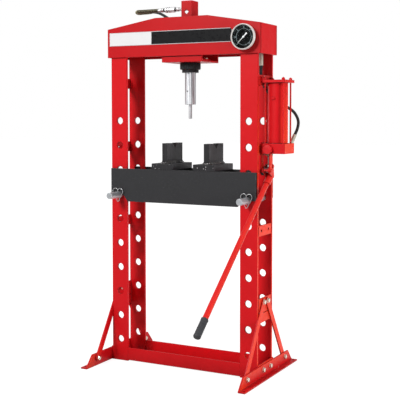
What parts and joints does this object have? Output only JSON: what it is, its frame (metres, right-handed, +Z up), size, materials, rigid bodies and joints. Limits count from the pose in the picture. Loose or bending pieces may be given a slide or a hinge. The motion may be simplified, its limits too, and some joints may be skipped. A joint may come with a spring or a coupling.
{
  "type": "hydraulic workshop press",
  "caption": "Floor-standing H-frame hydraulic press with a hand pump, gauge, sliding ram, height-adjustable pinned bed and V-notched press blocks.",
  "frame": {"origin": "on the floor, midway between the uprights and midway through the frame's depth", "axes": "+X to the right with the pump, +Y to the back, +Z up"},
  "size_m": [0.9516, 1.0345, 1.756],
  "materials": {
    "red_paint": "semi-gloss red enamel",
    "orange_paint": "semi-gloss orange-red enamel",
    "bed_paint": "satin dark grey enamel",
    "block_paint": "satin charcoal enamel",
    "zinc_steel": "zinc plated, slightly yellow",
    "plain_steel": "ground and oiled",
    "dark_steel": "dull dark steel",
    "black_steel": "black oxide, satin",
    "chrome_plate": "polished hard chrome",
    "hose_rubber": "black braided hose cover",
    "seal_rubber": "black seal rubber",
    "grip_rubber": "matt slate grey",
    "yellow_zinc": "yellow passivated",
    "panel_film": "plain white and black film",
    "dial_black": "matt black",
    "needle_white": "matt white",
    "gauge_glass": "clear",
    "gauge_metal": "bright pressed metal",
    "knob_red": "moulded red plastic"
  },
  "bodies": {
    "frame": {"upright_front_left": "red_paint", "upright_front_right": "red_paint", "upright_rear_left": "red_paint", "upright_rear_right": "red_paint", "tie_plates": "red_paint", "head_front_plate": "red_paint", "head_rear_plate": "red_paint", "head_end_plates": "red_paint", "ram_carrier": "red_paint", "top_bracket": "red_paint", "head_panel": "panel_film", "base_channel": "red_paint", "foot_left": "red_paint", "foot_right": "red_paint", "braces_left": "red_paint", "braces_right": "red_paint", "frame_fasteners": "zinc_steel", "cylinder_barrel": "red_paint", "lock_collar": "black_steel", "gland_nut": "black_steel", "return_spring": "dark_steel", "inlet_elbow": "plain_steel", "pump_block": "red_paint", "reservoir_tube": "red_paint", "reservoir_lid": "red_paint", "tie_rods": "red_paint", "fulcrum_links": "red_paint", "fulcrum_pin": "plain_steel", "plunger_gland": "plain_steel", "hose_fitting": "yellow_zinc", "hose": "hose_rubber", "hose_guard": "yellow_zinc", "hose_joiner": "yellow_zinc", "hose_coupler": "chrome_plate", "gauge_case": "gauge_metal", "gauge_bezel": "gauge_metal", "gauge_dial": "dial_black", "gauge_lens": "gauge_glass", "gauge_pipe": "plain_steel"},
    "ram": {"piston_rod": "chrome_plate", "piston_head": "plain_steel", "piston_seal": "seal_rubber", "ram_nose": "chrome_plate", "press_pin": "plain_steel"},
    "handle": {"lever_socket": "orange_paint", "handle_tube": "orange_paint", "handle_grip": "grip_rubber"},
    "plunger": {"pump_plunger": "chrome_plate", "plunger_pin": "plain_steel"},
    "release_valve": {"release_knob": "knob_red"},
    "needle": {"gauge_needle": "needle_white"},
    "bed": {"bed_front_plate": "bed_paint", "bed_rear_plate": "bed_paint", "bed_spacers": "bed_paint", "vblock_left": "block_paint", "vblock_right": "block_paint"},
    "left_pin": {"bed_pin_left": "plain_steel", "pin_clip_left": "plain_steel"},
    "right_pin": {"bed_pin_right": "plain_steel", "pin_clip_right": "plain_steel"}
  },
  "joints": [
    {"name": "ram_slide", "type": "slide", "parent": "frame", "child": "ram", "axis": [0, 0, -1], "range_m": [-0.09, 0.06], "deforming": ["return_spring"]},
    {"name": "handle_lift", "type": "hinge", "parent": "frame", "child": "handle", "pos_m": [0.418, -0.046, 0.962], "axis": [-1, 0, 0], "range_deg": [0, 50]},
    {"name": "plunger_slide", "type": "slide", "parent": "frame", "child": "plunger", "axis": [0, 0, -1], "range_m": [0, 0.034]},
    {"name": "release_turn", "type": "hinge", "parent": "frame", "child": "release_valve", "pos_m": [0.433, -0.06, 1.0584], "axis": [0, -1, 0], "range_deg": [0, 360]},
    {"name": "needle_turn", "type": "hinge", "parent": "frame", "child": "needle", "pos_m": [0.3347, -0.1148, 1.567], "axis": [0, 1, 0], "range_deg": [0, 270], "stiffness_Nm_per_rad": 0.003, "springref_deg": -20.05},
    {"name": "bed_lift", "type": "slide", "parent": "frame", "child": "bed", "axis": [0, 0, 1], "range_m": [0, 0.36]},
    {"name": "left_pin_slide", "type": "slide", "parent": "frame", "child": "left_pin", "axis": [0, -1, 0], "range_m": [0, 0.215]},
    {"name": "right_pin_slide", "type": "slide", "parent": "frame", "child": "right_pin", "axis": [0, -1, 0], "range_m": [0, 0.215]}
  ],
  "couplings": [
    {"joint": "plunger_slide", "follows": "handle_lift", "m_per_rad": 0.03847}
  ]
}
